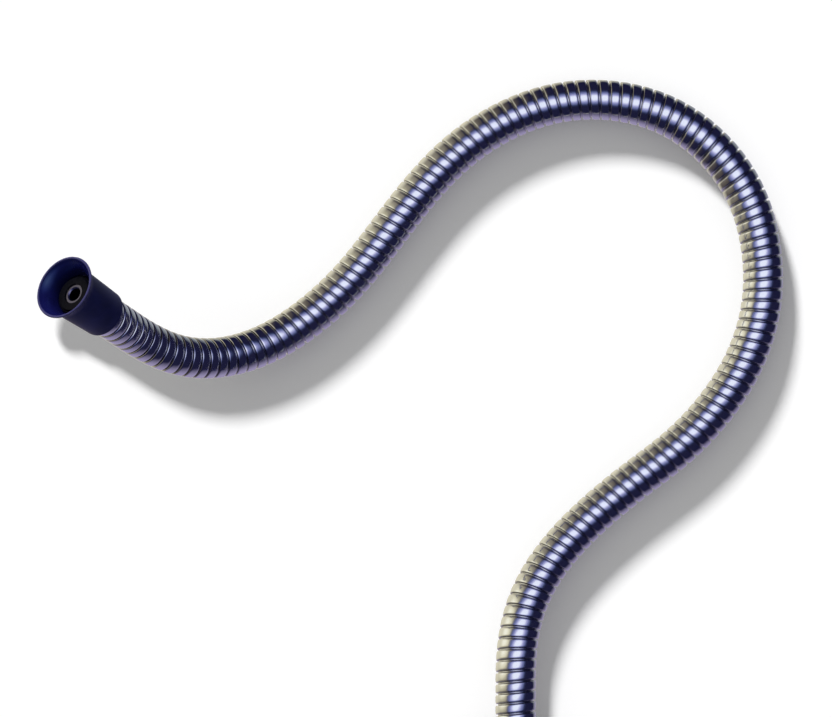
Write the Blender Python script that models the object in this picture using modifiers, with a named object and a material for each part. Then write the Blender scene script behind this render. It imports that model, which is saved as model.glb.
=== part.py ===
"""Flexible stainless hose of a wort chiller, with a swivel coupling on each end.

A ribbed metal casing runs over a smooth inner liner. Each end holds a nipple, a crimped
ferrule, a slip washer, an O-ring and a moulded bell-mouthed cup that spins on the nipple.
Units are metres, +Z is up, and the hose lies on the plane Z = 0.
"""

from math import cos, pi, sin, radians

import bmesh
import bpy
import numpy as np
from mathutils import Vector

MM = 0.001

# Driving dimensions ------------------------------------------------------------------
GAP = 0.3 * MM                  # air left between touching pieces

HOSE_R = 7.5 * MM               # radius over the rib crests
RIB_DEPTH = 1.0 * MM            # crest to groove
RIB_PITCH = 3.9 * MM            # rib to rib along the hose
CASING_WALL = 1.0 * MM          # groove to bore, across the flats
LINER_WALL = 0.85 * MM
CUFF_LENGTH = 10.2 * MM         # plain end of the casing, under the ferrule
STRAIGHT_LENGTH = 15.0 * MM     # ribbed hose that leaves a coupling before the first bend
FLAT_DEPTH = HOSE_R / 5         # the underside is pressed flat by a tenth of the diameter

FERRULE_WALL = 0.6 * MM
FERRULE_FRONT = 0.8 * MM        # thickness of the ferrule's front wall

STEM_WALL = 0.8 * MM
STEM_REACH = 15.0 * MM          # how far the nipple's stem goes into the liner
BODY_R = 4.7 * MM               # nipple body, on which the cup turns
FLANGE_R = 7.4 * MM
FLANGE_THICKNESS = 2.0 * MM
NOSE_R = 6.1 * MM
NOSE_HEIGHT = 1.8 * MM
NOSE_CHAMFER = 0.4 * MM
BARB_DEPTH = 0.35 * MM

SLIP_THICKNESS = 0.7 * MM
RING_CORD = 1.0 * MM            # thickness of the O-ring's rubber

CUP_WALL = 1.05 * MM            # wall of the collar at its rear end
COLLAR_TAPER = 0.75 * MM        # what the collar's radius gains towards the mouth
SHOULDER_THICKNESS = 1.8 * MM   # inward shoulder that draws the flange home
BELL_DEPTH = 6.4 * MM           # mouth of the cup to the nipple's nose
LIP_R = 12.0 * MM
LIP_THICKNESS = 0.9 * MM

RIB_SIDES = 8                   # sides of every swept tube
TURN_STEPS = 32                 # steps of every turned piece
TUBE_STEP = 11.0 * MM           # distance between the rings of a plain tube

# The near end rises clear of the table and points up at this tilt and heading.
NEAR_TILT = radians(50)
NEAR_HEADING = radians(146)
FAR_DIRECTION = Vector((0, -1, 0))

# Sizes that follow ---------------------------------------------------------------------
CORNER = 1 / cos(pi / RIB_SIDES)          # corner radius of a tube for one unit across flats
ROOT_R = HOSE_R - RIB_DEPTH
CASING_BORE_R = ROOT_R / CORNER - CASING_WALL
LINER_R = CASING_BORE_R - GAP
LINER_BORE_R = LINER_R / CORNER - LINER_WALL
STEM_R = LINER_BORE_R - GAP
NIPPLE_BORE_R = STEM_R - STEM_WALL
FERRULE_BORE_R = ROOT_R + GAP
FERRULE_R = FERRULE_BORE_R + FERRULE_WALL
CUP_REAR_BORE_R = FERRULE_R + GAP
COLLAR_REAR_R = CUP_REAR_BORE_R + CUP_WALL
COLLAR_FRONT_R = COLLAR_REAR_R + COLLAR_TAPER
SHOULDER_BORE_R = BODY_R + GAP
POCKET_R = FLANGE_R + GAP

# Places along a coupling's axis, from the cut end of the casing outwards.
FERRULE_FACE = GAP + FERRULE_FRONT
SHOULDER_REAR = FERRULE_FACE + GAP
SHOULDER_FACE = SHOULDER_REAR + SHOULDER_THICKNESS
SLIP_REAR = SHOULDER_FACE + GAP
SLIP_FACE = SLIP_REAR + SLIP_THICKNESS
FLANGE_REAR = SLIP_FACE + GAP
FLANGE_FACE = FLANGE_REAR + FLANGE_THICKNESS
NOSE_FACE = FLANGE_FACE + NOSE_HEIGHT
MOUTH = NOSE_FACE + BELL_DEPTH
RING_R = NOSE_R + GAP + RING_CORD / 2
RING_CENTRE = FLANGE_FACE + GAP + RING_CORD / 2

REST_HEIGHT = HOSE_R - FLAT_DEPTH         # hose axis above the table
FAR_LIFT = LIP_R - REST_HEIGHT            # the far coupling lies on its lip

# The hose's route, chosen by hand: across, along, and how far the axis is lifted.
CENTRING_MM = (-0.37, -0.19)              # brings the middle of the whole part to the origin
RISE_MM = [
    (-105.3, 37.8, 37.4), (-91.0, 30.3, 24.4), (-74.0, 28.6, 12.9), (-55.5, 34.3, 4.6),
    (-39.0, 45.0, 0.9),
]
TABLE_MM = [
    (-24.8, 58.3), (-11.5, 74.8), (1.5, 91.5), (16.0, 106.3), (33.5, 117.8),
    (53.4, 124.6), (74.2, 125.3), (94.3, 119.6), (111.3, 107.3), (123.3, 90.2), (129.0, 70.0),
    (129.1, 49.2), (123.2, 29.1), (112.3, 11.2), (98.0, -4.0), (81.3, -17.0),
]
ASCENT_MM = [
    (65.2, -30.4, 0.06), (51.2, -45.4, 0.25), (41.8, -61.6, 0.56), (37.8, -77.4, 0.87),
    (37.0, -93.0, 1.0),
]


def route_points():
    """The points that the bent part of the hose passes through."""
    rise = [(x, y, z * MM) for x, y, z in RISE_MM]
    table = [(x, y, 0) for x, y in TABLE_MM]
    climb = [(x, y, share * FAR_LIFT) for x, y, share in ASCENT_MM]
    across, along = CENTRING_MM
    return [
        Vector(((x + across) * MM, (y + along) * MM, REST_HEIGHT + lift))
        for x, y, lift in rise + table + climb]


def smooth_curve(points, start, end, steps=24):
    """A smooth curve through the points that leaves along start and arrives along end."""
    p = np.array([tuple(point) for point in points])
    count = len(p)
    run = np.linalg.norm(np.diff(p, axis=0), axis=1)
    rows = np.eye(count)
    sums = np.zeros((count, 3))
    sums[0] = start
    sums[-1] = end
    for i in range(1, count - 1):
        before, after = run[i - 1], run[i]
        rows[i, i - 1:i + 2] = after, 2 * (before + after), before
        sums[i] = 3 * (after * (p[i] - p[i - 1]) / before + before * (p[i + 1] - p[i]) / after)
    slope = np.linalg.solve(rows, sums)
    curve = []
    for i in range(count - 1):
        for u in np.arange(steps) / steps:
            curve.append(
                (2 * u**3 - 3 * u**2 + 1) * p[i] + (u**3 - 2 * u**2 + u) * run[i] * slope[i]
                + (3 * u**2 - 2 * u**3) * p[i + 1] + (u**3 - u**2) * run[i] * slope[i + 1])
    curve.append(p[-1])
    return [Vector(point) for point in curve]


class HosePath:
    """The hose's centre line, read by its distance from the near cut end."""

    def __init__(self):
        self.near_axis = Vector((
            cos(NEAR_TILT) * cos(NEAR_HEADING), cos(NEAR_TILT) * sin(NEAR_HEADING), sin(NEAR_TILT)))
        self.far_axis = FAR_DIRECTION
        bends = smooth_curve(route_points(), -self.near_axis, self.far_axis)
        run_in = CUFF_LENGTH + STRAIGHT_LENGTH
        self.near_end = bends[0] + self.near_axis * run_in
        self.far_end = bends[-1] + self.far_axis * run_in
        self.line = np.array([tuple(p) for p in [self.near_end] + bends + [self.far_end]])
        runs = np.linalg.norm(np.diff(self.line, axis=0), axis=1)
        self.places = np.concatenate([[0], np.cumsum(runs)])
        self.length = self.places[-1]

    def at(self, place):
        """The point at a distance along the hose; past an end it goes straight on."""
        if place < 0:
            return self.near_end - self.near_axis * place
        if place > self.length:
            return self.far_end + self.far_axis * (place - self.length)
        return Vector([np.interp(place, self.places, self.line[:, k]) for k in range(3)])


# Scene helpers -------------------------------------------------------------------------
def start_clean():
    for thing in list(bpy.data.objects):
        bpy.data.objects.remove(thing, do_unlink=True)
    for group in list(bpy.data.collections):
        bpy.data.collections.remove(group)


def new_collection(name):
    group = bpy.data.collections.new(name)
    bpy.context.scene.collection.children.link(group)
    return group


def finish(name, colour, roughness, metallic):
    """A Principled material with one colour."""
    material = bpy.data.materials.new(name)
    material.use_nodes = True
    shader = material.node_tree.nodes["Principled BSDF"]
    shader.inputs["Base Color"].default_value = (*colour, 1)
    shader.inputs["Roughness"].default_value = roughness
    shader.inputs["Metallic"].default_value = metallic
    return material


def add_object(name, mesh, group, material=None):
    thing = bpy.data.objects.new(name, mesh)
    group.objects.link(thing)
    if material:
        mesh.materials.append(material)
    return thing


def turned(name, profile, group, material, parent):
    """A ring-shaped solid: a closed profile of (radius, height), turned about local Z."""
    mesh = bpy.data.meshes.new(name)
    corners = [(radius, 0, height) for radius, height in profile]
    edges = [(i, (i + 1) % len(corners)) for i in range(len(corners))]
    mesh.from_pydata(corners, edges, [])
    thing = add_object(name, mesh, group, material)
    screw = thing.modifiers.new("turn", "SCREW")
    screw.steps = TURN_STEPS
    screw.render_steps = TURN_STEPS
    screw.use_merge_vertices = True
    screw.merge_threshold = 0.00001
    screw.use_smooth_shade = True
    thing.parent = parent
    return thing


def swept(name, points, radii, group, material=None):
    """A closed tube mesh through the points, with a radius at each."""
    curve = bpy.data.curves.new(name, "CURVE")
    curve.dimensions = "3D"
    curve.twist_mode = "Z_UP"
    curve.bevel_depth = 1.0
    curve.bevel_resolution = 2
    curve.use_fill_caps = True
    spline = curve.splines.new("POLY")
    spline.points.add(len(points) - 1)
    for corner, point, radius in zip(spline.points, points, radii):
        corner.co = (*point, 1)
        corner.radius = radius
    guide = bpy.data.objects.new(name + "_guide", curve)
    group.objects.link(guide)
    bpy.context.view_layer.update()
    evaluated = guide.evaluated_get(bpy.context.evaluated_depsgraph_get())
    mesh = bpy.data.meshes.new_from_object(evaluated)
    place = guide.matrix_world.copy()
    bpy.data.objects.remove(guide, do_unlink=True)
    bpy.data.curves.remove(curve)
    shell = bmesh.new()
    shell.from_mesh(mesh)
    bmesh.ops.remove_doubles(shell, verts=shell.verts, dist=0.00001)
    bmesh.ops.recalc_face_normals(shell, faces=shell.faces)
    shell.to_mesh(mesh)
    shell.free()
    mesh.shade_smooth()
    mesh.set_sharp_from_angle(angle=radians(35))
    mesh.name = name
    mesh.materials.clear()
    thing = add_object(name, mesh, group, material)
    thing.matrix_world = place
    return thing


def cut(thing, cutter):
    cutter.hide_render = True
    cutter.display_type = "WIRE"
    boolean = thing.modifiers.new("cut_" + cutter.name, "BOOLEAN")
    boolean.operation = "DIFFERENCE"
    boolean.solver = "EXACT"
    boolean.object = cutter


# Pieces --------------------------------------------------------------------------------
def plain_tube_places(path, overrun):
    """Even steps along the hose for a smooth tube, with straight overruns at both ends."""
    count = round(path.length / TUBE_STEP)
    inner = [path.length * i / count for i in range(count + 1)]
    return ([-overrun] if overrun else []) + inner + ([path.length + overrun] if overrun else [])


def rib_rings(path):
    """Places and radii of the casing: a plain cuff, then a groove and a crest for each rib."""
    first, last = CUFF_LENGTH, path.length - CUFF_LENGTH
    count = round((last - first) / RIB_PITCH)
    pitch = (last - first) / count
    rings = [(0, ROOT_R)]
    for i in range(count):
        rings += [(first + pitch * i, ROOT_R), (first + pitch * (i + 0.5), HOSE_R)]
    rings += [(last, ROOT_R), (path.length, ROOT_R)]
    print("ribs", count, "pitch", round(pitch / MM, 3), "mm")
    return rings


def make_casing(path, parts, cutters, material):
    rings = rib_rings(path)
    points = [path.at(place) for place, radius in rings]
    casing = swept("ribbed_casing", points, [radius for place, radius in rings], parts, material)
    bore_places = plain_tube_places(path, overrun=2 * MM)
    bore_points = [path.at(place) for place in bore_places]
    bore = swept("casing_bore", bore_points, [CASING_BORE_R * CORNER] * len(bore_points), cutters)
    cut(casing, bore)
    cut(casing, make_table_cutter(path, cutters))
    return casing


def make_table_cutter(path, cutters):
    """A block whose top is the table, to press the underside of the hose flat."""
    low = Vector(path.line.min(axis=0))
    high = Vector(path.line.max(axis=0))
    margin = 4 * HOSE_R
    mesh = bpy.data.meshes.new("table_cutter")
    block = bmesh.new()
    bmesh.ops.create_cube(block, size=1)
    block.to_mesh(mesh)
    block.free()
    cutter = add_object("table_cutter", mesh, cutters)
    cutter.scale = (high.x - low.x + margin, high.y - low.y + margin, 2 * HOSE_R)
    cutter.location = ((low.x + high.x) / 2, (low.y + high.y) / 2, -HOSE_R)
    return cutter


def make_liner(path, parts, cutters, material):
    places = plain_tube_places(path, overrun=0)
    points = [path.at(place) for place in places]
    liner = swept("inner_liner", points, [LINER_R] * len(points), parts, material)
    bore_points = [path.at(place) for place in plain_tube_places(path, overrun=2 * MM)]
    bore = swept("liner_bore", bore_points, [LINER_BORE_R * CORNER] * len(bore_points), cutters)
    cut(liner, bore)
    return liner


def coupling_empty(name, end, axis, group):
    """An empty at the casing's cut end, with its Z along the coupling, outwards."""
    holder = bpy.data.objects.new(name, None)
    holder.empty_display_size = 10 * MM
    group.objects.link(holder)
    holder.location = end
    holder.rotation_mode = "QUATERNION"
    holder.rotation_quaternion = axis.to_track_quat("Z", "Y")
    return holder


def ferrule_profile():
    rear = -CUFF_LENGTH + GAP
    hole = STEM_R + GAP
    return [
        (FERRULE_R - 0.3 * MM, FERRULE_FACE), (FERRULE_R, FERRULE_FACE - 0.3 * MM),
        (FERRULE_R, rear), (FERRULE_BORE_R, rear), (FERRULE_BORE_R, GAP), (hole, GAP),
        (hole, FERRULE_FACE),
    ]


def nipple_profile():
    """Nose, flange, body and a barbed stem, with one straight bore."""
    body_rear = FERRULE_FACE + GAP
    outer = [
        (NOSE_R - NOSE_CHAMFER, NOSE_FACE), (NOSE_R, NOSE_FACE - NOSE_CHAMFER),
        (NOSE_R, FLANGE_FACE), (FLANGE_R, FLANGE_FACE), (FLANGE_R, FLANGE_REAR),
        (BODY_R, FLANGE_REAR), (BODY_R, body_rear), (STEM_R, body_rear),
    ]
    barb_count = 2
    barb_pitch = STEM_REACH / (barb_count + 1)
    for barb in range(1, barb_count + 1):
        top = -barb_pitch * barb
        outer += [(STEM_R, top), (STEM_R - BARB_DEPTH, top - GAP), (STEM_R, top - barb_pitch / 2)]
    outer += [(STEM_R - BARB_DEPTH, -STEM_REACH)]
    bore = [
        (NIPPLE_BORE_R, -STEM_REACH), (NIPPLE_BORE_R, NOSE_FACE - NOSE_CHAMFER),
        (NIPPLE_BORE_R + NOSE_CHAMFER, NOSE_FACE),
    ]
    return outer + bore


def slip_washer_profile():
    inner = SHOULDER_BORE_R
    return [(FLANGE_R, SLIP_FACE), (FLANGE_R, SLIP_REAR), (inner, SLIP_REAR), (inner, SLIP_FACE)]


def o_ring_profile():
    """A round section, run clockwise so that the turned faces point out."""
    corners = 8
    half = RING_CORD / 2
    angles = [pi / 2 - 2 * pi * (i + 0.5) / corners for i in range(corners)]
    return [(RING_R + half * cos(a), RING_CENTRE + half * sin(a)) for a in angles]


def cup_profile():
    """Bell mouth, collar and rear bore of the moulded cup, as one closed outline."""
    half_lip = LIP_THICKNESS / 2
    lip_arc = [radians(a) for a in (150, 110, 70, 30, -10, -50)]
    lip_centre = (LIP_R - half_lip, MOUTH - half_lip)
    lip = [(lip_centre[0] + half_lip * cos(a), lip_centre[1] + half_lip * sin(a)) for a in lip_arc]
    flare_top = MOUTH - 1.6 * LIP_THICKNESS
    flare_foot = NOSE_FACE + 0.1 * BELL_DEPTH
    flare_out = LIP_R - 0.7 * LIP_THICKNESS
    flare = []
    for step in range(5):
        u = step / 4
        radius = COLLAR_FRONT_R + (flare_out - COLLAR_FRONT_R) * (1 - u) ** 2.2
        flare.append((radius, flare_top + (flare_foot - flare_top) * u))
    rear = -CUFF_LENGTH
    rear_round = CUP_WALL
    collar = [
        (COLLAR_REAR_R + COLLAR_TAPER * rear_round / (flare_foot - rear), rear + rear_round),
        (COLLAR_REAR_R - 0.13 * rear_round, rear + 0.5 * rear_round),
        (COLLAR_REAR_R - 0.5 * rear_round, rear + 0.13 * rear_round),
        (COLLAR_REAR_R - 0.85 * rear_round, rear),
    ]
    inside = [
        (CUP_REAR_BORE_R, rear + 0.1 * MM), (CUP_REAR_BORE_R, SHOULDER_REAR),
        (SHOULDER_BORE_R, SHOULDER_REAR), (SHOULDER_BORE_R, SHOULDER_FACE),
        (POCKET_R, SHOULDER_FACE), (POCKET_R, FLANGE_FACE + 0.8 * MM),
    ]
    funnel_foot = (POCKET_R, FLANGE_FACE + 0.8 * MM)
    funnel_top = (LIP_R - 1.45 * LIP_THICKNESS, MOUTH - 1.1 * LIP_THICKNESS)
    funnel = []
    for step in range(1, 5):
        u = step / 4
        bulge = 0.25 * MM * sin(pi * u)
        funnel.append((
            funnel_foot[0] + (funnel_top[0] - funnel_foot[0]) * u + bulge,
            funnel_foot[1] + (funnel_top[1] - funnel_foot[1]) * u))
    return lip + flare + collar + inside + funnel


def make_coupling(side, end, axis, parts, finishes):
    """The five pieces of one end, on an empty at the cut end of the casing."""
    holder = coupling_empty(side + "_coupling", end, axis, parts)
    turned(side + "_ferrule", ferrule_profile(), parts, finishes["steel"], holder)
    turned(side + "_nipple", nipple_profile(), parts, finishes["plated"], holder)
    turned(side + "_slip_washer", slip_washer_profile(), parts, finishes["nylon"], holder)
    turned(side + "_o_ring", o_ring_profile(), parts, finishes["rubber"], holder)
    turned(side + "_cup", cup_profile(), parts, finishes["moulding"], holder)


def main():
    start_clean()
    parts = new_collection("wort_chiller_hose")
    cutters = new_collection("cutters")
    finishes = {
        "steel": finish("polished_steel", (0.55, 0.56, 0.62), 0.18, 1.0),
        "plated": finish("plated_brass", (0.60, 0.60, 0.66), 0.25, 1.0),
        "moulding": finish("navy_moulding", (0.006, 0.007, 0.036), 0.38, 0.0),
        "rubber": finish("black_rubber", (0.012, 0.012, 0.014), 0.6, 0.0),
        "nylon": finish("natural_nylon", (0.70, 0.68, 0.60), 0.5, 0.0),
        "liner": finish("liner_rubber", (0.03, 0.03, 0.035), 0.55, 0.0),
    }
    path = HosePath()
    make_casing(path, parts, cutters, finishes["steel"])
    make_liner(path, parts, cutters, finishes["liner"])
    make_coupling("near", path.near_end, path.near_axis, parts, finishes)
    make_coupling("far", path.far_end, path.far_axis, parts, finishes)
    print("hose length", round(path.length / MM, 1), "mm")


main()
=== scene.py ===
# %% [markdown]
# # Flexible stainless hose of a wort chiller
# Hot wort is cooled by cold water that runs through metal hose. This piece is one such hose.
# Its casing is a long polished steel strip, wound so that each turn hooks into the last.
# A swivel coupling sits on each end: a steel ferrule, a plated nipple with a rubber ring on
# its nose, and a moulded cup that turns freely round them.
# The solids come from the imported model. This lesson builds the finer skin that is looked at.

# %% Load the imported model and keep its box
from math import cos, pi, radians, sin

import bmesh
import bpy
import numpy as np
from mathutils import Matrix, Vector


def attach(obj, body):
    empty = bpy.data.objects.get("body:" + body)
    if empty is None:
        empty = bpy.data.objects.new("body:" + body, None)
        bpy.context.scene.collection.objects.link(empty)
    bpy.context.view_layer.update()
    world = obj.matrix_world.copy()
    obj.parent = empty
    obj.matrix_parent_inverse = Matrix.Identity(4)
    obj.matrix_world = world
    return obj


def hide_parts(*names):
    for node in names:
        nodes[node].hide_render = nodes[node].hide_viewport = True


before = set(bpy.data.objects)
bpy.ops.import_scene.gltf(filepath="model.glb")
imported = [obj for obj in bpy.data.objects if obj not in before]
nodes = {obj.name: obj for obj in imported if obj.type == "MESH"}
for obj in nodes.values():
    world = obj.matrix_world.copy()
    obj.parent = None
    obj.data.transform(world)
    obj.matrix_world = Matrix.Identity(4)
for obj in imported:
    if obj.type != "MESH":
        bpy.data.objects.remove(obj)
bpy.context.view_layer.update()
MM = 0.001

# %% [markdown]
# ## The sizes that the hose and its couplings share
# Every length is in metres and repeats the value that shaped the solids, so that each new
# piece lands exactly where its solid is. `GAP` is the air that is left between two pieces.

# %% Sizes of the hose
GAP = 0.3 * MM
HOSE_R = 7.5 * MM                   # over the crests of the ribs
RIB_DEPTH = 1.0 * MM
TURNS = 138                         # turns of the strip, about 3.9 mm apart
ROOT_R = HOSE_R - RIB_DEPTH
CASING_BORE_R = 5.005 * MM
CUFF_LENGTH = 10.2 * MM             # plain end of the casing, under the ferrule
STRAIGHT_LENGTH = 15 * MM
REST_HEIGHT = HOSE_R - HOSE_R / 5   # the underside is pressed flat where it lies
LIP_R = 12 * MM
FAR_LIFT = LIP_R - REST_HEIGHT      # the far coupling lies on the lip of its cup

# %% [markdown]
# ## The route of the hose
# A steel hose of this kind stays as it is bent. One end stands up and shows the inside of its
# cup, and the rest lies on the table in a long S. The route is a list of points, and a cubic
# curve through them keeps its bend smooth from one point to the next, as stiff metal does.

# %% Points that the bent part passes through, in millimetres
CENTRING_MM = (-0.37, -0.19)
RISE_MM = [
    (-105.3, 37.8, 37.4), (-91.0, 30.3, 24.4), (-74.0, 28.6, 12.9), (-55.5, 34.3, 4.6),
    (-39.0, 45.0, 0.9),
]
TABLE_MM = [
    (-24.8, 58.3), (-11.5, 74.8), (1.5, 91.5), (16.0, 106.3), (33.5, 117.8),
    (53.4, 124.6), (74.2, 125.3), (94.3, 119.6), (111.3, 107.3), (123.3, 90.2), (129.0, 70.0),
    (129.1, 49.2), (123.2, 29.1), (112.3, 11.2), (98.0, -4.0), (81.3, -17.0),
]
ASCENT_MM = [
    (65.2, -30.4, 0.06), (51.2, -45.4, 0.25), (41.8, -61.6, 0.56), (37.8, -77.4, 0.87),
    (37.0, -93.0, 1.0),
]
NEAR_TILT, NEAR_HEADING = radians(50), radians(146)
NEAR_AXIS = Vector((
    cos(NEAR_TILT) * cos(NEAR_HEADING), cos(NEAR_TILT) * sin(NEAR_HEADING), sin(NEAR_TILT)))
FAR_AXIS = Vector((0, -1, 0))


def route_points():
    rise = [(x, y, z * MM) for x, y, z in RISE_MM]
    table = [(x, y, 0) for x, y in TABLE_MM]
    climb = [(x, y, share * FAR_LIFT) for x, y, share in ASCENT_MM]
    across, along = CENTRING_MM
    return [
        Vector(((x + across) * MM, (y + along) * MM, REST_HEIGHT + lift))
        for x, y, lift in rise + table + climb]


# %% A curve through the points whose bend never jumps
def smooth_curve(points, start, end, steps=24):
    """Solves for the slope at each point, then fills in steps places between two points."""
    p = np.array([tuple(point) for point in points])
    count = len(p)
    run = np.linalg.norm(np.diff(p, axis=0), axis=1)
    rows = np.eye(count)
    sums = np.zeros((count, 3))
    sums[0], sums[-1] = start, end
    for i in range(1, count - 1):
        before, after = run[i - 1], run[i]
        rows[i, i - 1:i + 2] = after, 2 * (before + after), before
        sums[i] = 3 * (after * (p[i] - p[i - 1]) / before + before * (p[i + 1] - p[i]) / after)
    slope = np.linalg.solve(rows, sums)
    curve = []
    for i in range(count - 1):
        for u in np.arange(steps) / steps:
            curve.append(
                (2 * u**3 - 3 * u**2 + 1) * p[i] + (u**3 - 2 * u**2 + u) * run[i] * slope[i]
                + (3 * u**2 - 2 * u**3) * p[i + 1] + (u**3 - u**2) * run[i] * slope[i + 1])
    return [Vector(point) for point in curve + [p[-1]]]


bends = smooth_curve(route_points(), -NEAR_AXIS, FAR_AXIS)
near_end = bends[0] + NEAR_AXIS * (CUFF_LENGTH + STRAIGHT_LENGTH)
far_end = bends[-1] + FAR_AXIS * (CUFF_LENGTH + STRAIGHT_LENGTH)
route = [near_end] + bends + [far_end]
hose_length = sum((b - a).length for a, b in zip(route, route[1:]))
print("hose, cut end to cut end, mm:", round(hose_length / MM, 1))

# %% [markdown]
# ## The camera
# It looks almost straight down from far off, so lengths on the table keep their proportions.

# %% Camera
VIEW_TARGET = Vector((-0.37 * MM, 28.81 * MM, 0))
VIEW_DISTANCE = 1.7333
VIEW_TILT = radians(2)              # away from straight down

camera = bpy.data.objects.new("camera", bpy.data.cameras.new("camera"))
bpy.context.scene.collection.objects.link(camera)
camera.data.lens = 200
camera.data.sensor_width = 36
camera.data.clip_start, camera.data.clip_end = 0.05, 20
camera.rotation_euler = (VIEW_TILT, 0, 0)
camera.location = VIEW_TARGET + VIEW_DISTANCE * Vector((0, -sin(VIEW_TILT), cos(VIEW_TILT)))
bpy.context.scene.camera = camera
print("camera stands", round(camera.location.z, 2), "m above the table")

# %% [markdown]
# ## Helpers for colours, nodes and materials
# Colours are written as people read them on a screen. Blender works in linear light, so one
# function turns them round. The next adds a node of any kind, sets it, and links what feeds
# it. The last starts a material from the plain numbers of its shader.


# %% Helpers
def linear(hex_colour):
    parts = [int(hex_colour[i:i + 2], 16) / 255 for i in (1, 3, 5)]
    return (*[p / 12.92 if p <= 0.04045 else ((p + 0.055) / 1.055) ** 2.4 for p in parts], 1)


def add(tree, kind, inputs=(), stops=(), **settings):
    """One node. Each input takes a value, a node, or a node's socket. The inputs are a dict, or
    a list from the first input on. stops are the (place, colour) pairs of a ramp or the
    (place, height) pairs of a curve."""
    node = tree.nodes.new(kind)
    for name, value in settings.items():
        setattr(node, name, value)
    for key, value in inputs.items() if isinstance(inputs, dict) else enumerate(inputs):
        if isinstance(value, bpy.types.Node):
            value = next(socket for socket in value.outputs if socket.enabled)
        if isinstance(value, bpy.types.NodeSocket):
            tree.links.new(value, node.inputs[key])
        else:
            node.inputs[key].default_value = value
    if kind == "ShaderNodeValToRGB":
        node.color_ramp.interpolation = "EASE"
        band = node.color_ramp.elements
        while len(band) < len(stops):
            band.new(0.5)
        for element, (place, colour) in zip(band, stops):
            element.position, element.color = place, linear(colour)
    elif kind == "ShaderNodeFloatCurve":
        line = node.mapping.curves[0].points
        while len(line) < len(stops):
            line.new(0.5, 0.5)
        for point, corner in zip(line, stops):
            point.location, point.handle_type = corner, "VECTOR"
        node.mapping.update()
    return node


def start_material(name, **plain):
    """A material with its shader's plain sockets set, such as Roughness."""
    material = bpy.data.materials.new(name)
    material.use_nodes = True
    shader = material.node_tree.nodes["Principled BSDF"]
    for socket, value in plain.items():
        shader.inputs[socket.replace("_", " ")].default_value = value
    return material, material.node_tree, shader.inputs


# %% [markdown]
# ## Polished stainless strip
# Rolled stainless, polished after winding. To the eye it is a mirror, blurred a little by
# polishing lines that run round the hose. The lines are drawn some thousandths of a millimetre
# apart, too fine to be told apart, because only their blur is wanted here. The crests of the
# ribs and the flat floors of the grooves are bright. The steep walls between them are painted
# a darker grey-brown in patches, as painted shade between the ribs.

# %% Polished stainless strip
LINE_SCALE = 120.0                  # per metre: a line is some 8 mm long, round the hose,
LINE_FINENESS = 2500.0              # and lies a 2500th of that from the next
PATCH_SCALE = 350.0                  # per metre: patches some 3 mm wide in the painted shade and the roughness

steel, tree, shader = start_material("polished_stainless_strip", Metallic=1.0)
height = add(tree, "ShaderNodeAttribute", attribute_name="height").outputs["Fac"]
along = add(tree, "ShaderNodeAttribute", attribute_name="along").outputs["Fac"]
where = add(tree, "ShaderNodeTexCoord").outputs["Object"]
line_place = add(tree, "ShaderNodeMath", (along, LINE_FINENESS), operation="MULTIPLY")
lines = add(tree, "ShaderNodeTexNoise", {
    "Vector": where, "W": line_place, "Scale": LINE_SCALE, "Detail": 3.0,
}, noise_dimensions="4D")
patches = add(tree, "ShaderNodeTexNoise", {"Vector": where, "Scale": PATCH_SCALE})
patchy_height = add(tree, "ShaderNodeMath", (patches, 0.12, height), operation="MULTIPLY_ADD")
# the stop at 0.45 paints shade on the steep walls between the ribs, in patches
colour = add(tree, "ShaderNodeValToRGB", (patchy_height,), [
    (0.08, "#b3b4bc"), (0.45, "#6a6766"), (0.85, "#c6c8d1"), (1.0, "#d4d6df")])
dull = add(tree, "ShaderNodeValToRGB", (patchy_height,), [(0.2, "#707070"), (0.8, "#585858")])
rough = add(tree, "ShaderNodeMath", (lines, 0.06, dull), operation="MULTIPLY_ADD")
bump = add(tree, "ShaderNodeBump", {"Strength": 0.25, "Distance": 0.02 * MM, "Height": lines})
for node, socket in ((colour, "Base Color"), (rough, "Roughness"), (bump, "Normal")):
    tree.links.new(node.outputs[0], shader[socket])
print("steel made of", len(tree.nodes), "nodes")

# %% [markdown]
# ## The wound casing
# The real casing is one strip that goes round and round. The mesh is made the same way: a
# long grid, one row of faces for each step along the strip, wound round the route. Its short
# side has the section of one rib, and each turn's edge meets the next turn's edge in the
# groove. Geometry Nodes suit this, because a few numbers make the whole hose.

# %% The strip's section, as (place across one turn, height), from groove to groove
STRIP_SECTION = [
    (0.00, 0.00), (0.07, 0.00), (0.09, 0.08), (0.11, 0.84), (0.16, 0.94), (0.28, 0.98),
    (0.50, 1.00), (0.72, 0.98), (0.84, 0.94), (0.89, 0.84), (0.91, 0.08), (0.93, 0.00),
    (1.00, 0.00),
]
SIDES = 36                          # faces round one turn
MERGE_WITHIN = 0.005 * MM           # one turn's edge joins the next turn's edge


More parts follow.
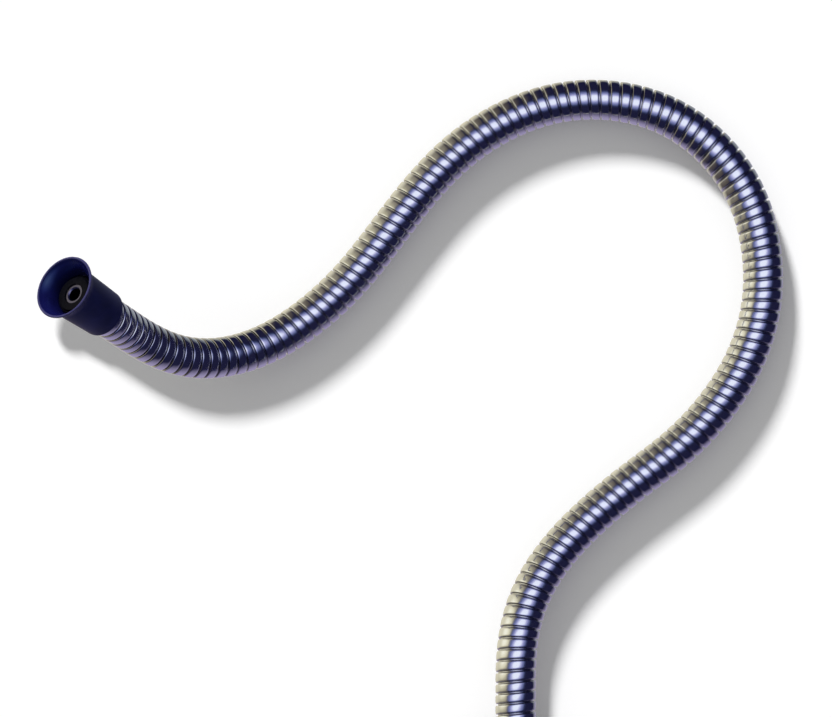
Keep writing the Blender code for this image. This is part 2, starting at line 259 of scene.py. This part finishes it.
# %% The tree that winds the strip
def strip_tree():
    tree = bpy.data.node_groups.new("wound_strip", "GeometryNodeTree")
    tree.interface.new_socket("Geometry", in_out="OUTPUT", socket_type="NodeSocketGeometry")
    for label, kind in [
            ("Geometry", "Geometry"), ("Turns", "Int"), ("Sides", "Int"), ("Hose radius", "Float"),
            ("Rib depth", "Float"), ("Cuff length", "Float"), ("Material", "Material")]:
        tree.interface.new_socket(label, in_out="INPUT", socket_type="NodeSocket" + kind)
    given = add(tree, "NodeGroupInput").outputs
    cuff, turns, sides = given["Cuff length"], given["Turns"], given["Sides"]
    math = "ShaderNodeMath"

    # How long one turn is: the hose between its two cuffs, shared among the turns
    line = add(tree, "GeometryNodeSetCurveNormal", {"Curve": given["Geometry"]}, mode="Z_UP")
    length = add(tree, "GeometryNodeCurveLength", (line,))
    last = add(tree, math, (length, cuff), operation="SUBTRACT")
    covered = add(tree, math, (last, cuff), operation="SUBTRACT")
    pitch = add(tree, math, (covered, turns), operation="DIVIDE")

    # A grid with a row of points for each step round, and one turn to spare
    points = len(STRIP_SECTION)
    rounds = add(tree, math, (turns, 1.0), operation="ADD")
    steps = add(tree, math, (rounds, sides), operation="MULTIPLY")
    rows = add(tree, math, (steps, 1.0), operation="ADD")
    grid = add(tree, "GeometryNodeMeshGrid", {"Vertices X": rows, "Vertices Y": points})

    # Which row and column a point is in, and where the column lies in the strip's section
    index = add(tree, "GeometryNodeInputIndex")
    middle = add(tree, math, (index, 0.5), operation="ADD")
    row_share = add(tree, math, (middle, float(points)), operation="DIVIDE")
    row = add(tree, math, (row_share,), operation="FLOOR")
    row_start = add(tree, math, (row, float(points)), operation="MULTIPLY")
    column = add(tree, math, (index, row_start), operation="SUBTRACT")
    share = add(tree, math, (column, float(points - 1)), operation="DIVIDE")
    across, height = (
        add(tree, "ShaderNodeFloatCurve", {"Value": share}, [
            (i / (points - 1), corner[side]) for i, corner in enumerate(STRIP_SECTION)])
        for side in (0, 1))

    # How far along the hose the point lies, held between the two cuffs
    turn = add(tree, math, (row, sides), operation="DIVIDE")
    ahead = add(tree, math, (turn, across), operation="ADD")
    done = add(tree, math, (ahead, 1.0), operation="SUBTRACT")
    wound = add(tree, math, (pitch, done), operation="MULTIPLY")
    free_place = add(tree, math, (cuff, wound), operation="ADD")
    past_cuff = add(tree, math, (free_place, cuff), operation="MAXIMUM")
    place = add(tree, math, (past_cuff, last), operation="MINIMUM")

    # How far out it lies, and in which direction. The underside is pressed flat on the table.
    sample = add(tree, "GeometryNodeSampleCurve", {"Curves": line, "Length": place},
                 mode="LENGTH", use_all_curves=True).outputs
    angle = add(tree, math, (turn, 2 * pi), operation="MULTIPLY")
    outward = add(tree, "ShaderNodeVectorRotate", {
        "Vector": sample["Normal"], "Axis": sample["Tangent"], "Angle": angle,
    }, rotation_type="AXIS_ANGLE")
    root = add(tree, math, (given["Hose radius"], given["Rib depth"]), operation="SUBTRACT")
    radius = add(tree, math, (height, given["Rib depth"], root), operation="MULTIPLY_ADD")
    offset = add(tree, "ShaderNodeVectorMath", {0: outward, "Scale": radius}, operation="SCALE")
    spot = add(tree, "ShaderNodeVectorMath", (sample["Position"], offset))
    split = add(tree, "ShaderNodeSeparateXYZ", (spot,)).outputs
    lifted = add(tree, math, (split[2], 0.0), operation="MAXIMUM")
    flat = add(tree, "ShaderNodeCombineXYZ", (split[0], split[1], lifted))

    mesh = grid
    for name, value in (("height", height), ("along", place)):
        mesh = add(tree, "GeometryNodeStoreNamedAttribute", {
            "Geometry": mesh, "Name": name, "Value": value}, data_type="FLOAT")
    mesh = add(tree, "GeometryNodeSetPosition", {"Geometry": mesh, "Position": flat})
    mesh = add(tree, "GeometryNodeMergeByDistance", {"Geometry": mesh, "Distance": MERGE_WITHIN})
    mesh = add(tree, "GeometryNodeSetShadeSmooth", {"Geometry": mesh})
    mesh = add(tree, "GeometryNodeRealizeInstances", {"Geometry": mesh})
    mesh = add(tree, "GeometryNodeSetMaterial", {
        "Geometry": mesh, "Material": given["Material"]})
    add(tree, "NodeGroupOutput", (mesh,))
    return tree


# %% A guide curve along the route, and the strip wound on it
def guide_curve(name, points):
    curve = bpy.data.curves.new(name, "CURVE")
    curve.dimensions = "3D"
    spline = curve.splines.new("POLY")
    spline.points.add(len(points) - 1)
    for corner, point in zip(spline.points, points):
        corner.co = (*point, 1)
    guide = bpy.data.objects.new(name, curve)
    bpy.context.scene.collection.objects.link(guide)
    return guide


def run_tree(thing, tree, sizes):
    """Gives thing the tree as a modifier and returns what it makes, as a plain mesh."""
    modifier = thing.modifiers.new(tree.name, "NODES")
    modifier.node_group = tree
    for socket in tree.interface.items_tree:
        if socket.item_type == "SOCKET" and socket.name in sizes:
            modifier[socket.identifier] = sizes[socket.name]
    bpy.context.view_layer.update()
    evaluated = thing.evaluated_get(bpy.context.evaluated_depsgraph_get())
    mesh = bpy.data.meshes.new_from_object(evaluated)
    bpy.data.objects.remove(thing, do_unlink=True)
    return mesh


strip = run_tree(guide_curve("hose_guide", route), strip_tree(), {
    "Turns": TURNS, "Sides": SIDES, "Hose radius": HOSE_R, "Rib depth": RIB_DEPTH,
    "Cuff length": CUFF_LENGTH, "Material": steel})
print("wound strip:", len(strip.polygons), "faces")

# %% [markdown]
# Under the ribs the hooked edges of the strip make a closed tube. It also shows at the two
# plain ends, where the ferrules grip it. It is a tube with two walls and a ring at each end.

# %% The plain tube under the ribs
TUBE_STEP = 4 * MM
TUBE_SIDES = 24
HAIR = 0.05 * MM                    # keeps two surfaces from lying in the same place


def route_frame(place):
    """The point at a place along the hose, and two directions square to the hose there."""
    walked = 0
    for a, b in zip(route, route[1:]):
        step = (b - a).length
        if walked + step >= place or b is route[-1]:
            ahead = (b - a).normalized()
            side = ahead.cross(Vector((0, 0, 1))).normalized()
            return a + ahead * (place - walked), side, side.cross(ahead)
        walked += step


def plain_tube(outer, inner):
    mesh = bmesh.new()
    count = round(hose_length / TUBE_STEP)
    loops = []
    for i in range(count + 1):
        centre, side, up = route_frame(hose_length * i / count)
        for radius, wall in ((outer, 0), (inner, 1)):
            ring = []
            for k in range(TUBE_SIDES):
                a = 2 * pi * k / TUBE_SIDES
                spot = centre + radius * (cos(a) * side + sin(a) * up)
                spot.z = max(spot.z, HAIR)
                ring.append(mesh.verts.new(spot))
            loops.append(ring)
    outside, inside = loops[0::2], loops[1::2]
    order = outside + inside[::-1] + [outside[0]]
    for first, second in zip(order, order[1:]):
        for k in range(TUBE_SIDES):
            j = (k + 1) % TUBE_SIDES
            mesh.faces.new((first[k], first[j], second[j], second[k])).smooth = True
    bmesh.ops.recalc_face_normals(mesh, faces=mesh.faces)
    return mesh


casing_mesh = plain_tube(ROOT_R - HAIR, CASING_BORE_R)
casing_mesh.from_mesh(strip)
casing_data = bpy.data.meshes.new("strip_wound_casing")
casing_mesh.to_mesh(casing_data)
casing_mesh.free()
casing_data.materials.append(steel)
casing = bpy.data.objects.new("strip_wound_casing", casing_data)
bpy.context.scene.collection.objects.link(casing)
print("casing:", len(casing_data.polygons), "faces")

# %% [markdown]
# ## Turned and moulded pieces
# The pieces of a coupling are all round, so each is an outline turned about the coupling's
# axis. Heights are measured from the cut end of the casing outwards.

# %% Sizes of a coupling
FERRULE_R = 7.4 * MM
STEM_R, NIPPLE_BORE_R, BODY_R = 3.197 * MM, 2.397 * MM, 4.7 * MM
FLANGE_R, NOSE_R, NOSE_CHAMFER = 7.4 * MM, 6.1 * MM, 0.4 * MM
STEM_REACH, BARB_DEPTH, BARBS = 15 * MM, 0.35 * MM, 2
RING_CORD = 1.0 * MM
SEAL_HOLE_R, SEAL_FACE = 3.7 * MM, 0.55 * MM
CUP_WALL, COLLAR_TAPER = 1.05 * MM, 0.75 * MM
BELL_DEPTH, LIP_THICKNESS = 6.4 * MM, 0.9 * MM

CUP_REAR_BORE_R = FERRULE_R + GAP
COLLAR_REAR_R = CUP_REAR_BORE_R + CUP_WALL
COLLAR_FRONT_R = COLLAR_REAR_R + COLLAR_TAPER
SHOULDER_BORE_R = BODY_R + GAP
POCKET_R = FLANGE_R + GAP
SHOULDER_WALL, WASHER_WALL = 1.8 * MM, 0.7 * MM
FLANGE_WALL, NOSE_LENGTH = 2.0 * MM, 1.8 * MM
FERRULE_FACE = 1.1 * MM             # from here on, heights above the casing's cut end
SHOULDER_REAR = FERRULE_FACE + GAP
SHOULDER_FACE = SHOULDER_REAR + SHOULDER_WALL
FLANGE_REAR = SHOULDER_FACE + GAP + WASHER_WALL + GAP
FLANGE_FACE = FLANGE_REAR + FLANGE_WALL
NOSE_FACE = FLANGE_FACE + NOSE_LENGTH
MOUTH = NOSE_FACE + BELL_DEPTH
print("coupling, from its rear edge to its mouth, mm:", round((MOUTH + CUFF_LENGTH) / MM, 1))


# %% Turning an outline
def rounded(outline, radius, corners, steps=5):
    """The outline with the named corners rounded off."""
    made = []
    for i, corner in enumerate(outline):
        if i not in corners:
            made.append(corner)
            continue
        here = Vector(corner)
        before = Vector(outline[i - 1]) - here
        after = Vector(outline[(i + 1) % len(outline)]) - here
        start, end = (here + d.normalized() * min(radius, d.length * 0.45) for d in (before, after))
        for k in range(steps + 1):
            u = k / steps
            made.append(tuple((1 - u) ** 2 * start + 2 * u * (1 - u) * here + u ** 2 * end))
    return made


def turned(name, outline, end, axis, material, steps=96):
    """A closed outline of (radius, height), turned about a coupling's axis."""
    place = Matrix.Translation(end) @ axis.to_track_quat("Z", "Y").to_matrix().to_4x4()
    mesh = bmesh.new()
    run = mesh.verts.layers.float.new("run")
    rings = []
    for k in range(steps):
        a = 2 * pi * k / steps
        walked, ring = 0, []
        for i, (radius, rise) in enumerate(outline):
            vert = mesh.verts.new(place @ Vector((radius * cos(a), radius * sin(a), rise)))
            vert[run] = walked
            ring.append(vert)
            walked += (Vector(outline[(i + 1) % len(outline)]) - Vector((radius, rise))).length
        rings.append(ring)
    for first, second in zip(rings, rings[1:] + rings[:1]):
        for i in range(len(outline)):
            j = (i + 1) % len(outline)
            mesh.faces.new((first[i], first[j], second[j], second[i])).smooth = True
    bmesh.ops.recalc_face_normals(mesh, faces=mesh.faces)
    data = bpy.data.meshes.new(name)
    mesh.to_mesh(data)
    mesh.free()
    data.set_sharp_from_angle(angle=radians(40))
    data.materials.append(material)
    thing = bpy.data.objects.new(name, data)
    bpy.context.scene.collection.objects.link(thing)
    return thing


# %% [markdown]
# ## Navy moulding
# The cups are injection moulded in a hard navy plastic. The mould leaves a fine grain outside,
# so a highlight there is soft, faint and bluish. The inside comes off a polished core and is
# glossier. The lip is painted paler all round: a painted highlight along the rim. `run` is the
# distance along the cup's outline from its lip: over the bell and the collar first, then up
# through the inside.

# %% Navy moulding
GRAIN, CLOUD = 0.5 * MM, 9 * MM                     # sizes of the grain and of faint clouds
LIP_HIGHLIGHT_FROM, LIP_HIGHLIGHT_TO = 2.2 * MM, 1.0 * MM         # where the painted highlight on the lip starts and where it is full
POLISHED_FROM, POLISHED_TO = 26 * MM, 30 * MM       # where the inside turns glossy

navy, tree, shader = start_material(
    "navy_moulded_plastic", IOR=1.5, Specular_Tint=linear("#9cc4ff"))
where = add(tree, "ShaderNodeTexCoord").outputs["Object"]
grain = add(tree, "ShaderNodeTexNoise", {"Vector": where, "Scale": 1 / GRAIN, "Detail": 3.0})
cloud = add(tree, "ShaderNodeTexNoise", {"Vector": where, "Scale": 1 / CLOUD})
run = add(tree, "ShaderNodeAttribute", attribute_name="run").outputs["Fac"]
lip_highlight = add(tree, "ShaderNodeMapRange", (run, LIP_HIGHLIGHT_FROM, LIP_HIGHLIGHT_TO))
polished = add(tree, "ShaderNodeMapRange", (run, POLISHED_FROM, POLISHED_TO))
moulded = add(tree, "ShaderNodeValToRGB", (cloud,), [(0.3, "#0c0d3c"), (0.7, "#111248")])
# the paler colour towards the lip is a painted highlight along the rim
colour = add(tree, "ShaderNodeMix", {
    0: lip_highlight, 6: moulded, 7: linear("#38365c")}, data_type="RGBA")
dull = add(tree, "ShaderNodeMath", (grain, 0.12, 0.42), operation="MULTIPLY_ADD")
rough = add(tree, "ShaderNodeMath", (polished, -0.26, dull), operation="MULTIPLY_ADD")
gloss = add(tree, "ShaderNodeMath", (polished, 0.8, 0.15), operation="MULTIPLY_ADD")
bump = add(tree, "ShaderNodeBump", {"Strength": 0.3, "Distance": 0.03 * MM, "Height": grain})
for output, socket in (
        (colour.outputs[2], "Base Color"), (rough.outputs[0], "Roughness"),
        (gloss.outputs[0], "Specular IOR Level"), (bump.outputs[0], "Normal")):
    tree.links.new(output, shader[socket])
print("navy moulding made of", len(tree.nodes), "nodes")


# %% The cup's outline: bell, collar, rear bore, shoulder and funnel
FLARE_CURVE = 2.2                   # how late the bell opens: 1 would be a plain cone
FUNNEL_CONE = 0.4                   # the funnel's share of plain cone, the rest opens late
REAR_ROUNDING = 0.85                # of the wall, at the collar's rear edge


def cup_outline():
    half = LIP_THICKNESS / 2
    lip = [
        (LIP_R - half + half * cos(radians(a)), MOUTH - half + half * sin(radians(a)))
        for a in range(150, -51, -20)]
    flare_top, flare_foot = MOUTH - 1.6 * LIP_THICKNESS, NOSE_FACE + 0.1 * BELL_DEPTH
    flare_out = LIP_R - 0.7 * LIP_THICKNESS
    flare = [
        (COLLAR_FRONT_R + (flare_out - COLLAR_FRONT_R) * (1 - u) ** FLARE_CURVE,
         flare_top + (flare_foot - flare_top) * u) for u in np.linspace(0, 1, 13)]
    rear = -CUFF_LENGTH
    slope = COLLAR_TAPER / (flare_foot - rear)
    collar = [
        (COLLAR_REAR_R + (slope - REAR_ROUNDING) * CUP_WALL * (1 - cos(a)),
         rear + CUP_WALL * (1 - sin(a))) for a in np.linspace(0, pi / 2, 7)]
    inside = [
        (CUP_REAR_BORE_R, rear + 0.1 * MM), (CUP_REAR_BORE_R, SHOULDER_REAR),
        (SHOULDER_BORE_R, SHOULDER_REAR), (SHOULDER_BORE_R, SHOULDER_FACE),
        (POCKET_R, SHOULDER_FACE), (POCKET_R, FLANGE_FACE + 0.8 * MM)]
    foot = inside[-1]
    top = (LIP_R - 1.45 * LIP_THICKNESS, MOUTH - 1.1 * LIP_THICKNESS)
    funnel = [
        (foot[0] + (top[0] - foot[0]) * (FUNNEL_CONE * u + (1 - FUNNEL_CONE) * u ** 3),
         foot[1] + (top[1] - foot[1]) * u) for u in np.linspace(0, 1, 13)[1:]]
    return lip + flare + collar + inside + funnel


print("cup outline:", len(cup_outline()), "corners")

# %% [markdown]
# ## Plated nipple, rubber ring and the hidden pieces
# The nipple is brass, turned on a lathe and nickel plated. The tool leaves fine rings, and
# the plating makes them bright. `run` is the distance along the outline, so noise on it makes
# rings. They are drawn 0.25 mm apart, coarser than real ones, so that they show.
# The ring on the nose is moulded black rubber, so dull that it hardly mirrors anything. The
# liner is extruded rubber, a dull dark grey. The washers are natural nylon, cream and milky.
# The ferrules are drawn stainless steel, satin from the press.

# %% Nickel plating
TOOL_STEP = 0.25 * MM

plating, tree, shader = start_material("nickel_plated_brass", Metallic=1.0)
run = add(tree, "ShaderNodeAttribute", attribute_name="run").outputs["Fac"]
ring_place = add(tree, "ShaderNodeMath", (run, 1 / TOOL_STEP), operation="MULTIPLY")
rings = add(tree, "ShaderNodeTexNoise", {
    "W": ring_place, "Scale": 1.0, "Detail": 2.0}, noise_dimensions="1D")
colour = add(tree, "ShaderNodeValToRGB", (rings,), [(0.2, "#5b5974"), (0.8, "#757392")])
rough = add(tree, "ShaderNodeMath", (rings, 0.12, 0.2), operation="MULTIPLY_ADD")
bump = add(tree, "ShaderNodeBump", {"Strength": 0.3, "Distance": 0.02 * MM, "Height": rings})
for node, socket in ((colour, "Base Color"), (rough, "Roughness"), (bump, "Normal")):
    tree.links.new(node.outputs[0], shader[socket])
print("nickel plating made of", len(tree.nodes), "nodes")


# %% Rubber, nylon and drawn steel
def speckled(name, dark, light, size, roughness, **plain):
    """A dull material with a fine two-tone speckle and a bump of the same size."""
    material, tree, shader = start_material(name, **plain)
    where = add(tree, "ShaderNodeTexCoord").outputs["Object"]
    fleck = add(tree, "ShaderNodeTexNoise", {"Vector": where, "Scale": 1 / size, "Detail": 4.0})
    colour = add(tree, "ShaderNodeValToRGB", (fleck,), [(0.3, dark), (0.75, light)])
    rough = add(tree, "ShaderNodeMath", (fleck, 0.2, roughness), operation="MULTIPLY_ADD")
    bump = add(tree, "ShaderNodeBump", {"Strength": 0.3, "Distance": 0.03 * MM, "Height": fleck})
    for node, socket in ((colour, "Base Color"), (rough, "Roughness"), (bump, "Normal")):
        tree.links.new(node.outputs[0], shader[socket])
    return material


rubber = speckled(
    "black_moulded_rubber", "#040408", "#0b0b11", 0.6 * MM, 0.45, Specular_IOR_Level=0.1)
liner_rubber = speckled("extruded_liner_rubber", "#151517", "#242427", 1.5 * MM, 0.5)
nylon = speckled("natural_nylon", "#cfc8ae", "#e2dcc6", 1.2 * MM, 0.35)
drawn_steel = speckled("drawn_stainless_cup", "#a4a5aa", "#c6c7cc", 1.0 * MM, 0.22, Metallic=1.0)
print("also made:", [made.name for made in (rubber, liner_rubber, nylon, drawn_steel)])


# %% Outlines of the nipple and the rubber ring
def nipple_outline():
    rear = FERRULE_FACE + GAP
    pitch = STEM_REACH / (BARBS + 1)
    outer = [
        (NOSE_R - NOSE_CHAMFER, NOSE_FACE), (NOSE_R, NOSE_FACE - NOSE_CHAMFER),
        (NOSE_R, FLANGE_FACE), (FLANGE_R, FLANGE_FACE), (FLANGE_R, FLANGE_REAR),
        (BODY_R, FLANGE_REAR), (BODY_R, rear), (STEM_R, rear)]
    for barb in range(1, BARBS + 1):
        top = -pitch * barb
        outer += [(STEM_R, top), (STEM_R - BARB_DEPTH, top - GAP), (STEM_R, top - pitch / 2)]
    return rounded(outer + [
        (STEM_R - BARB_DEPTH, -STEM_REACH), (NIPPLE_BORE_R, -STEM_REACH),
        (NIPPLE_BORE_R, NOSE_FACE - NOSE_CHAMFER), (NIPPLE_BORE_R + NOSE_CHAMFER, NOSE_FACE)],
        0.25 * MM, corners=(0, 1, 3, 4))


def seal_outline():
    """A round bead round the nose, with a thin face that laps over the nose's rim."""
    half, air = RING_CORD / 2, HAIR
    middle = (NOSE_R + GAP + half, FLANGE_FACE + GAP + half)
    face, hole = NOSE_FACE + SEAL_FACE, SEAL_HOLE_R
    bead = [
        (middle[0] + half * cos(radians(a)), middle[1] + half * sin(radians(a)))
        for a in range(100, -121, -20)]
    return [
        (NOSE_R + air, NOSE_FACE + air), (hole, NOSE_FACE + air), (hole, face - 0.2 * MM),
        (hole + 0.2 * MM, face), (NOSE_R, face), (NOSE_R + 0.3 * MM, face - 0.12 * MM),
        (NOSE_R + 0.45 * MM, face - 0.4 * MM)] + bead + [(NOSE_R + air, FLANGE_FACE + GAP)]


# %% Both couplings
coupling = {}
for side, end, axis in (("near", near_end, NEAR_AXIS), ("far", far_end, FAR_AXIS)):
    for label, outline, material, body, node, slot in (
            ("moulded_cup", cup_outline(), navy, side + "_cup", "cup", "cup_moulding"),
            ("plated_nipple", nipple_outline(), plating, "hose", "nipple", "nipple_plating"),
            ("rubber_seal", seal_outline(), rubber, "hose", "o_ring", "seal_rubber")):
        thing = turned(f"{side}_{label}", outline, end, axis, material)
        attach(thing, body)
        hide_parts(f"{side}_{node}")
        coupling.setdefault(side, []).append(thing)
    for node, material in (("ferrule", drawn_steel), ("slip_washer", nylon)):
        part = nodes[f"{side}_{node}"]
        part.data.materials.clear()
        part.data.materials.append(material)
        coupling[side].append(part)
nodes["inner_liner"].data.materials.clear()
nodes["inner_liner"].data.materials.append(liner_rubber)
print("coupling pieces at each end:", [thing.name for thing in coupling["far"]])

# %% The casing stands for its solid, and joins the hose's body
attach(casing, "hose")
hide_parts("ribbed_casing")

# %% [markdown]
# ## Floor and light
# The hose lies on a plain white table. The table adds a faint glow of its own for the camera
# alone, so that it reads as plain white. It is hidden from the steel's mirror, because a table
# this wide would turn both edges of the hose white.

# %% Floor
TABLE_HALF = 3                      # metres from its middle to each edge
TABLE_GLOW = 0.04

floor_data = bpy.data.meshes.new("floor")
floor_data.from_pydata([
    (x * TABLE_HALF, y * TABLE_HALF, 0) for x, y in ((-1, -1), (1, -1), (1, 1), (-1, 1))],
    [], [(0, 1, 2, 3)])
floor = bpy.data.objects.new("floor", floor_data)
bpy.context.scene.collection.objects.link(floor)
floor.visible_glossy = False
table_white, tree, shader = start_material(
    "white_table", Base_Color=linear("#ffffff"), Roughness=0.9, Specular_IOR_Level=0.0,
    Emission_Color=linear("#ffffff"))
seen = add(tree, "ShaderNodeLightPath").outputs["Is Camera Ray"]
glow = add(tree, "ShaderNodeMath", (seen, TABLE_GLOW), operation="MULTIPLY")
tree.links.new(glow.outputs[0], shader["Emission Strength"])
floor_data.materials.append(table_white)
print("table:", 2 * TABLE_HALF, "m wide")

# %% [markdown]
# ## Two lamps and one shadow
# One lamp stands low at the upper left and throws the soft grey shadow. A lamp's shadow slides
# away from what stands high, so the raised end would throw a stray shadow far from the hose,
# where a close one shows the shape better. So the lamp that lights the table is stopped by a
# low form, which lies inside the hose and, where the hose rises, just above the table, right
# behind the hose as the main camera sees it. Nothing else sees the form. A twin of this lamp
# lights the pieces, and there they shade each other as they should.

# %% The low form that throws the shadow on the table
SHADOW_HEIGHT = 6 * MM              # above this the form is squashed
SHADOW_SQUASH = 0.03
CORE_R = 6.3 * MM                   # of the form inside the hose
CUP_CORE_MM = [                     # inside the far cup, as (place along its axis, radius)
    (-9.9, 6.3), (-9.8, 7.6), (6, 7.6), (14.6, 9.5)]


def lowered(spot):
    """Brings a high spot down along its line to the camera, so that it stays hidden behind."""
    low = min(spot.z, SHADOW_HEIGHT + (spot.z - SHADOW_HEIGHT) * SHADOW_SQUASH)
    eye = camera.location
    return eye + (spot - eye) * (eye.z - low) / (eye.z - spot.z)


core = [(lowered(spot), CORE_R) for spot in route[:-1]]
core += [(far_end + FAR_AXIS * place * MM, radius * MM) for place, radius in CUP_CORE_MM]
form = guide_curve("shadow_form", [spot for spot, radius in core])
form.data.bevel_depth = 1
form.data.use_fill_caps = True
for corner, (spot, radius) in zip(form.data.splines[0].points, core):
    corner.radius = radius
near_cup_copy = nodes["near_cup"].data.copy()
for vert in near_cup_copy.vertices:
    vert.co = lowered(vert.co)
cup_form = bpy.data.objects.new("shadow_form_cup", near_cup_copy)
bpy.context.scene.collection.objects.link(cup_form)
blockers = bpy.data.collections.new("shadow_forms")
for part in (form, cup_form):
    blockers.objects.link(part)
    part.visible_camera = part.visible_diffuse = False
    part.visible_glossy = part.visible_transmission = False
print("shadow form:", len(core), "places along the hose, and a copy of the near cup")

# %% The lamps: the key's share and the sky's share add up to plain white on the table
SHADE_LEVEL = 0.35                  # light left in the shadow
KEY_ELEVATION = radians(28)
KEY_HEADING = Vector((0.48, -0.877, 0))
table_only = bpy.data.collections.new("table_only")
table_only.objects.link(floor)
all_but_table = bpy.data.collections.new("all_but_table")
all_but_table.objects.link(floor)
all_but_table.collection_objects[0].light_linking.link_state = "EXCLUDE"

ray = KEY_HEADING * cos(KEY_ELEVATION) - Vector((0, 0, sin(KEY_ELEVATION)))
for name, lit, width in (("table_key", table_only, 9), ("piece_key", all_but_table, 20)):
    sun = bpy.data.objects.new(name, bpy.data.lights.new(name, "SUN"))
    bpy.context.scene.collection.objects.link(sun)
    sun.data.energy = (1 - SHADE_LEVEL) * pi / sin(KEY_ELEVATION)
    sun.data.angle = radians(width)
    sun.rotation_mode = "QUATERNION"
    sun.rotation_quaternion = ray.to_track_quat("-Z", "Y")
    sun.visible_glossy = False
    sun.light_linking.receiver_collection = lit
    if lit is table_only:
        sun.light_linking.blocker_collection = blockers
    print(f"{name}: strength {sun.data.energy:.2f}, {width} degrees wide")

# %% [markdown]
# ## Surroundings
# Polished steel shows little but what stands round it, so its look comes from the
# surroundings: a pale tent at the left, a cool light panel overhead, and dark navy cloth
# elsewhere. From low down come a warm light at the tent's foot, a lilac light at the near side
# and the grey bounce of the table. They are painted on the sky by direction alone, one layer
# over another, so they stay still when the camera moves.

# %% Surroundings that the polished steel shows
world = bpy.data.worlds.new("studio")
bpy.context.scene.world = world
world.use_nodes = True
tree = world.node_tree
tree.nodes.clear()
toward = add(tree, "ShaderNodeTexCoord").outputs["Generated"]
TENT_HEADING, PANEL_HEADING = radians(165), radians(20)
TENT_FOOT = Vector((-0.557, 0.321, -0.766)).normalized()
LILAC_SIDE = Vector((0, -0.5, -0.866)).normalized()
TABLE_BOUNCE = Vector((0.383, 0.321, -0.866)).normalized()
OVERHEAD = Vector((0.04, 0.09, 1)).normalized()
STUDIO_LEVEL = 1.3


def turned_to(heading, stretch):
    """Directions seen from a heading, stretched along, across and up, at length 1 again."""
    seen = add(tree, "ShaderNodeMapping", {
        "Vector": toward, "Rotation": (0, 0, heading), "Scale": [1 / k for k in stretch],
    }, vector_type="TEXTURE")
    return add(tree, "ShaderNodeVectorMath", (seen,), operation="NORMALIZE")


def lobe(direction, way, start, end):
    """How much a direction faces one way: 0 up to start, 1 from end on."""
    facing = add(tree, "ShaderNodeVectorMath", (direction, way), operation="DOT_PRODUCT")
    return add(tree, "ShaderNodeMapRange", (facing, start, end))


tent = lobe(turned_to(TENT_HEADING, (1, 1.5, 0.75)), (1, 0, 0), 0.0, 1.0)
tent_share = add(tree, "ShaderNodeMapRange", (tent, 0.25, 0.5))
tent_cloth = add(tree, "ShaderNodeValToRGB", (tent,), [
    (0.30, "#2b2838"), (0.50, "#575049"), (0.74, "#8d8674"), (0.86, "#b9b294"),
    (0.94, "#e9e2c0"), (1.0, "#fffbe0")])
over = turned_to(PANEL_HEADING, (0.65, 1, 1))
panel = add(tree, "ShaderNodeValToRGB", (lobe(over, OVERHEAD, 0.0, 1.0),), [
    (0.62, "#1f1f38"), (0.77, "#3a4368"), (0.885, "#747aa6"), (0.945, "#b0b0d8"),
    (0.982, "#f1f5ff")])
mirrored = linear("#1b1b36")
for colour, share in (
        (linear("#959a9b"), lobe(toward, TABLE_BOUNCE, 0.74, 0.98)),
        (linear("#9a90ad"), lobe(toward, LILAC_SIDE, 0.42, 0.95)),
        (tent_cloth, tent_share),
        (linear("#ddd6b8"), lobe(toward, TENT_FOOT, 0.64, 0.96)),
        (panel, lobe(over, OVERHEAD, 0.66, 0.84))):
    mirrored = add(tree, "ShaderNodeMix", {0: share, 6: mirrored, 7: colour}, data_type="RGBA")

# What each kind of ray meets: the studio in a mirror, plain white for the camera and through
# clear things, and an even dim white for all that lights a surface
rays = add(tree, "ShaderNodeLightPath").outputs
plain_white = linear("#ffffff")
diffuse = add(tree, "ShaderNodeBackground", {"Color": plain_white, "Strength": SHADE_LEVEL})
studio = add(tree, "ShaderNodeBackground", {"Color": mirrored, "Strength": STUDIO_LEVEL})
white = add(tree, "ShaderNodeBackground", {"Color": plain_white, "Strength": 1.0})
shown = add(tree, "ShaderNodeMixShader", (rays["Is Glossy Ray"], diffuse, studio))
clear = add(tree, "ShaderNodeMath", (
    rays["Is Camera Ray"], rays["Is Transmission Ray"]), operation="MAXIMUM")
final = add(tree, "ShaderNodeMixShader", (clear, shown, white))
add(tree, "ShaderNodeOutputWorld", (final,))
print("surroundings made of", len(tree.nodes), "nodes")

bpy.context.scene.view_settings.view_transform = "Standard"
